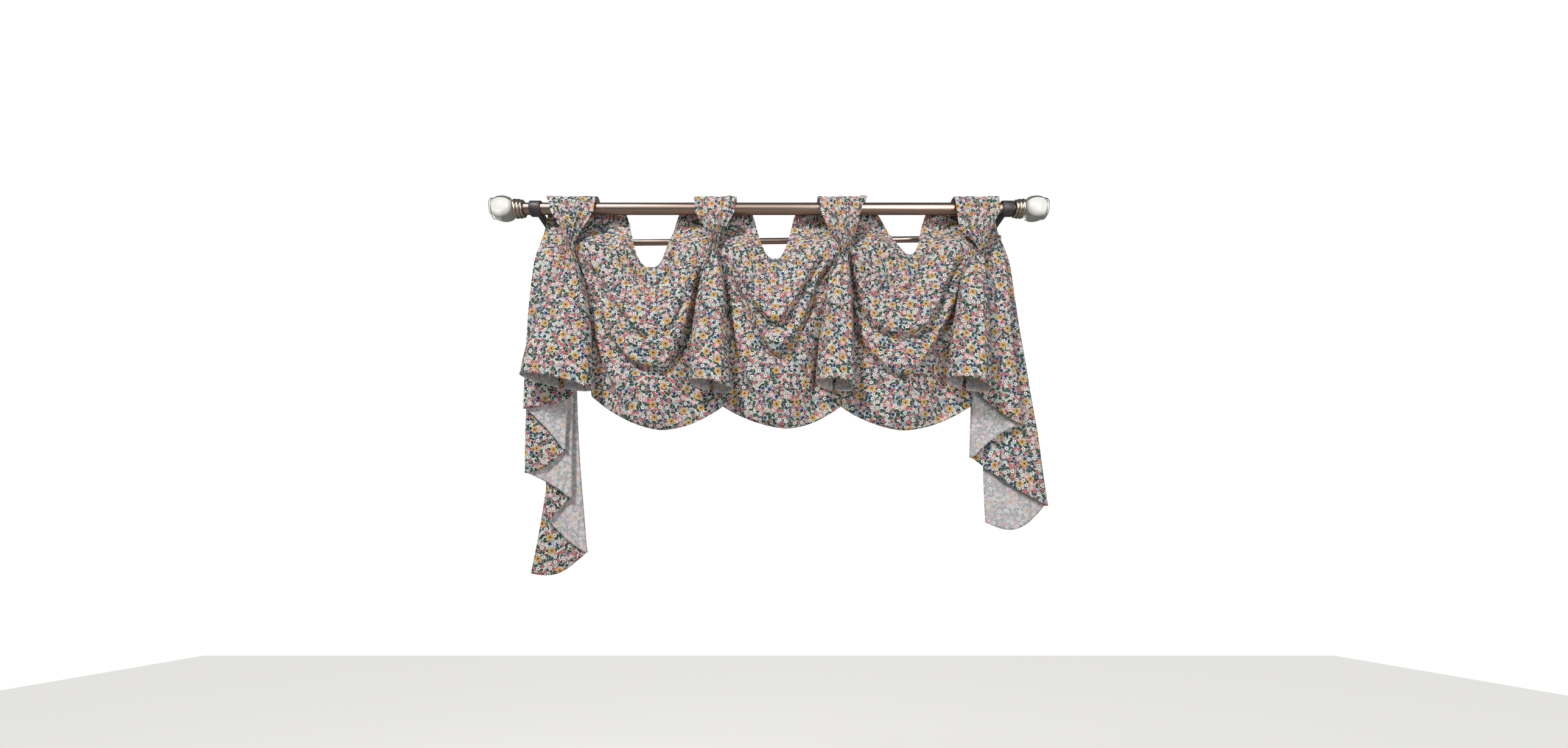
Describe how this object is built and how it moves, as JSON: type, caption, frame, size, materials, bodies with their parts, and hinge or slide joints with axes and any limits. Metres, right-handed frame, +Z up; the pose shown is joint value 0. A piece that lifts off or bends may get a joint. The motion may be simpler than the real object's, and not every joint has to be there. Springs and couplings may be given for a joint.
{
  "type": "window swag on a double curtain rod",
  "caption": "Printed cotton swag valance: draped panels between gathered horns with folded end cascades, hung by loops over a metal double curtain rod with clear glass knobs.",
  "frame": {"origin": "centre of the left wall plate's back face, on the wall, at the height of the front rod's axis", "axes": "+X along the rods towards the right-hand end as seen from the room, +Y out of the room into the wall, +Z up"},
  "size_m": [1.2058, 0.2227, 0.8179],
  "materials": {
    "rod": "pewter lacquer on steel tube",
    "bracket": "dark powder coat",
    "collar": "brushed nickel plate",
    "glass": "clear moulded glass",
    "print_cotton": "plain-weave cotton, printed with small flowers on a pale sage ground"
  },
  "bodies": {
    "root": {"swag_1": "print_cotton", "swag_2": "print_cotton", "swag_3": "print_cotton", "horn_1": "print_cotton", "horn_2": "print_cotton", "horn_3": "print_cotton", "horn_4": "print_cotton", "tail_left": "print_cotton", "tail_right": "print_cotton", "rod_front": "rod", "rod_rear": "rod", "bracket_left": "bracket", "bracket_right": "bracket", "collar_left": "collar", "collar_right": "collar", "knob_left": "glass", "knob_right": "glass"}
  },
  "joints": []
}
